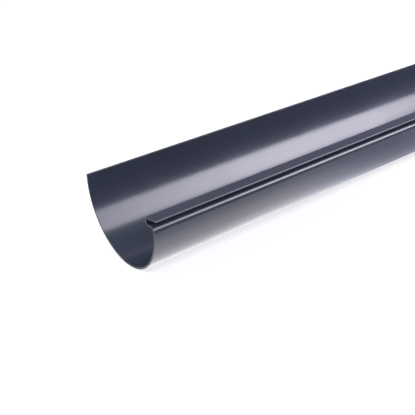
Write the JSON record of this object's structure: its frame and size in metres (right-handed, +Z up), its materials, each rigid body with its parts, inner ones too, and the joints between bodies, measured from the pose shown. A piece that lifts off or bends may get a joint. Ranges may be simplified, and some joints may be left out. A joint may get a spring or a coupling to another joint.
{
  "type": "gutter section",
  "caption": "Length of half-round roof gutter in dark grey plastic, with a folded front bead and plain sawn ends.",
  "frame": {"origin": "on the floor under the middle of the gutter's length and width, as it lies at rest", "axes": "+X along the gutter, -Y towards the folded front bead, +Y towards the rear wall, +Z up; the gutter lies rolled 15.8 degrees towards its bead, where its weight brings it to rest"},
  "size_m": [2, 0.1314, 0.0861],
  "materials": {
    "gutter_plastic": "gloss"
  },
  "bodies": {
    "root": {"gutter": "gutter_plastic"}
  },
  "joints": []
}
